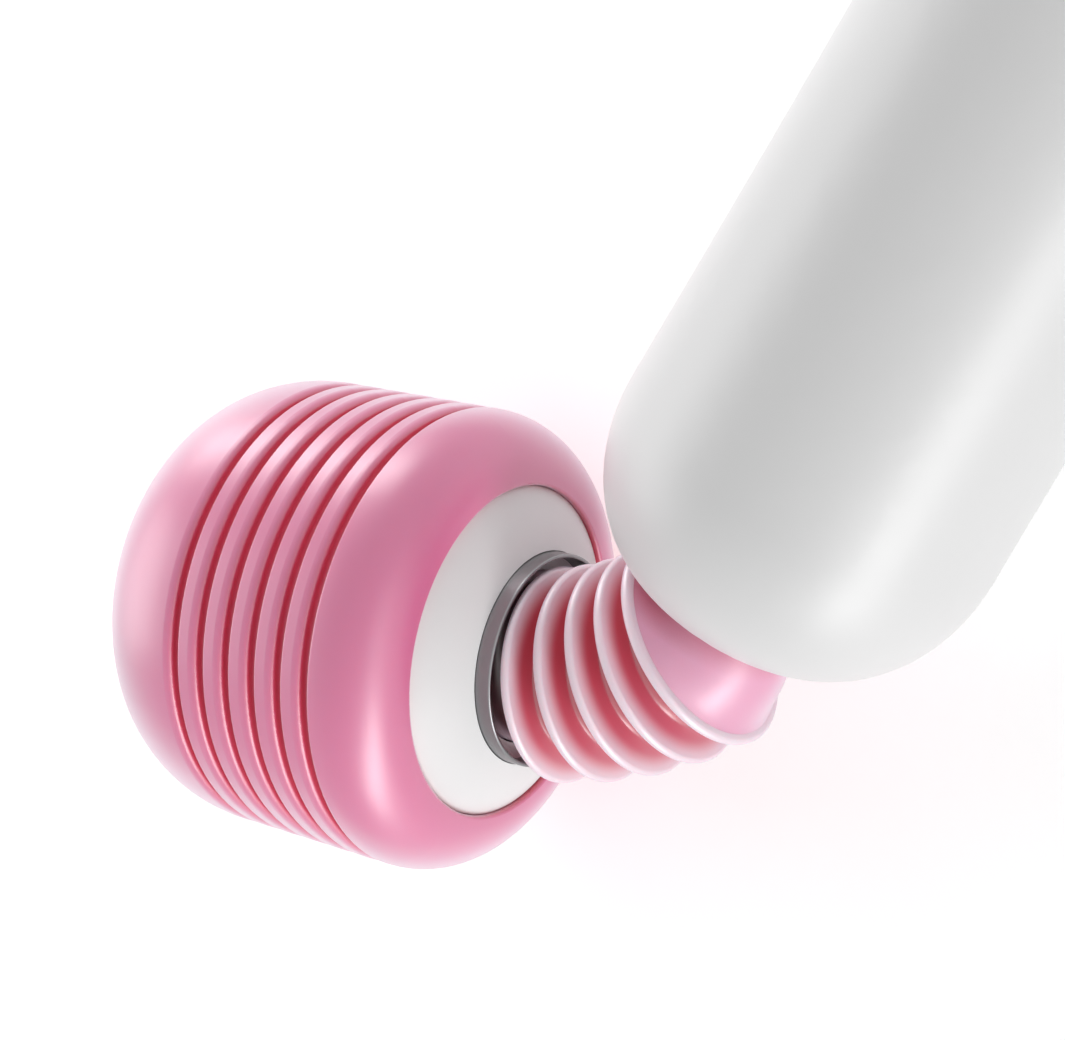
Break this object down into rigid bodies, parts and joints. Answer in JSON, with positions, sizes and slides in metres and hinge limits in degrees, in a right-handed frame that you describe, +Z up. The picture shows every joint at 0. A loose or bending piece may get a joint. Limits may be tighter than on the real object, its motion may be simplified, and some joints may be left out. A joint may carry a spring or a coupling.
{
  "type": "handheld wand massager",
  "caption": "Cordless handheld wand massager with a round cushioned head on a ribbed bending neck, and a long smooth tapering handle.",
  "frame": {"origin": "middle of the footprint's bounding box, on the floor that the handle and the head lie on", "axes": "+X along the handle from the neck to the tail, +Y towards the side the head bends to, +Z up, out of the side with the buttons"},
  "size_m": [0.2836, 0.098, 0.0635],
  "materials": {
    "pink_silicone": "satin moulded silicone",
    "dark_silicone": "satin moulded silicone",
    "core_rubber": "matt rubber",
    "white_gloss_plastic": "polished moulded plastic",
    "collar_plastic": "satin moulded plastic",
    "ring_metal": "satin plated metal",
    "button_silicone": "satin moulded silicone",
    "light_guide": "frosted clear plastic",
    "inner_plastic": "matt moulded plastic",
    "mount_rubber": "matt rubber",
    "motor_steel": "plated pressed steel",
    "shaft_steel": "ground steel",
    "screw_steel": "zinc plated steel",
    "bell_plastic": "matt moulded plastic",
    "magnet_ferrite": "pressed ferrite",
    "bush_bronze": "sintered bronze",
    "copper": "turned copper",
    "weight_metal": "sintered heavy metal",
    "board_laminate": "solder-masked laminate",
    "part_black": "moulded epoxy",
    "light_epoxy": "clear epoxy",
    "cell_wrap": "shrink sleeve over steel",
    "nickel_tab": "nickel strip",
    "foam": "closed-cell foam",
    "socket_plastic": "moulded plastic"
  },
  "bodies": {
    "handle": {"handle_shell": "white_gloss_plastic", "control_panel": "white_gloss_plastic", "light_pipe": "light_guide", "neck_anchor": "inner_plastic", "anchor_plate": "inner_plastic", "anchor_screws": "screw_steel", "handle_core": "core_rubber", "inner_chassis": "inner_plastic", "circuit_board": "board_laminate", "board_screws": "screw_steel", "board_parts": "part_black", "button_switches": "part_black", "signal_light": "light_epoxy", "battery_cell": "cell_wrap", "battery_tabs": "nickel_tab", "battery_pad": "foam", "tail_cap": "white_gloss_plastic", "tail_seal": "mount_rubber", "charging_socket": "socket_plastic"},
    "rib_5": {"neck_rib_5": "pink_silicone", "core_link_5": "core_rubber", "boot_end": "pink_silicone"},
    "rib_4": {"neck_rib_4": "pink_silicone", "core_link_4": "core_rubber"},
    "rib_3": {"neck_rib_3": "pink_silicone", "core_link_3": "core_rubber"},
    "rib_2": {"neck_rib_2": "pink_silicone", "core_link_2": "core_rubber"},
    "rib_1": {"neck_rib_1": "pink_silicone", "core_link_1": "core_rubber"},
    "head": {"head_sleeve": "pink_silicone", "head_cup": "inner_plastic", "head_collar": "collar_plastic", "neck_ring": "ring_metal", "neck_root": "dark_silicone", "head_core": "core_rubber", "motor_holder": "inner_plastic", "motor_mounts": "mount_rubber", "motor_can": "motor_steel", "motor_end_bell": "bell_plastic", "motor_magnets": "magnet_ferrite", "front_bush": "bush_bronze", "rear_bush": "bush_bronze"},
    "rotor": {"motor_shaft": "shaft_steel", "motor_armature": "motor_steel", "commutator": "copper", "eccentric_weight": "weight_metal"},
    "power_button": {"power_button": "button_silicone"},
    "faster_button": {"faster_button": "button_silicone"},
    "slower_button": {"slower_button": "button_silicone"}
  },
  "joints": [
    {"name": "neck_bend", "type": "hinge", "parent": "handle", "child": "rib_5", "pos_m": [-0.07673, -0.0254, 0.02403], "axis": [0.0184, -0.1742, 0.9845], "range_deg": [0, 53.6]},
    {"name": "rib_4_bend", "type": "hinge", "parent": "rib_5", "child": "rib_4", "pos_m": [-0.08203, -0.02276, 0.0246], "axis": [0.0184, -0.1742, 0.9845], "range_deg": [-0.25, 12.65]},
    {"name": "rib_3_bend", "type": "hinge", "parent": "rib_4", "child": "rib_3", "pos_m": [-0.08638, -0.01997, 0.02517], "axis": [0.0184, -0.1742, 0.9845], "range_deg": [-0.25, 12.65]},
    {"name": "rib_2_bend", "type": "hinge", "parent": "rib_3", "child": "rib_2", "pos_m": [-0.0904, -0.01674, 0.02582], "axis": [0.0184, -0.1742, 0.9845], "range_deg": [-0.25, 12.65]},
    {"name": "rib_1_bend", "type": "hinge", "parent": "rib_2", "child": "rib_1", "pos_m": [-0.09404, -0.01309, 0.02654], "axis": [0.0184, -0.1742, 0.9845], "range_deg": [-0.25, 12.65]},
    {"name": "head_bend", "type": "hinge", "parent": "rib_1", "child": "head", "pos_m": [-0.09161, -0.01612, 0.02595], "axis": [0.0184, -0.1742, 0.9845], "range_deg": [-0.46, 23.26]},
    {"name": "motor_spin", "type": "hinge", "parent": "head", "child": "rotor", "pos_m": [-0.1136, 0.02667, 0.03394], "axis": [0.451, -0.8774, -0.1637], "continuous": true},
    {"name": "power_press", "type": "slide", "parent": "handle", "child": "power_button", "axis": [-0.0184, 0.1742, -0.9845], "range_m": [0, 0.0006], "stiffness_N_per_m": 800, "springref_m": -0.0002},
    {"name": "faster_press", "type": "slide", "parent": "handle", "child": "faster_button", "axis": [-0.0184, 0.1742, -0.9845], "range_m": [0, 0.0006], "stiffness_N_per_m": 800, "springref_m": -0.0002},
    {"name": "slower_press", "type": "slide", "parent": "handle", "child": "slower_button", "axis": [-0.0184, 0.1742, -0.9845], "range_m": [0, 0.0006], "stiffness_N_per_m": 800, "springref_m": -0.0002}
  ],
  "couplings": [
    {"joint": "rib_4_bend", "follows": "neck_bend", "ratio": 0.23134},
    {"joint": "rib_3_bend", "follows": "neck_bend", "ratio": 0.23134},
    {"joint": "rib_2_bend", "follows": "neck_bend", "ratio": 0.23134},
    {"joint": "rib_1_bend", "follows": "neck_bend", "ratio": 0.23134},
    {"joint": "head_bend", "follows": "neck_bend", "ratio": 0.42537}
  ]
}
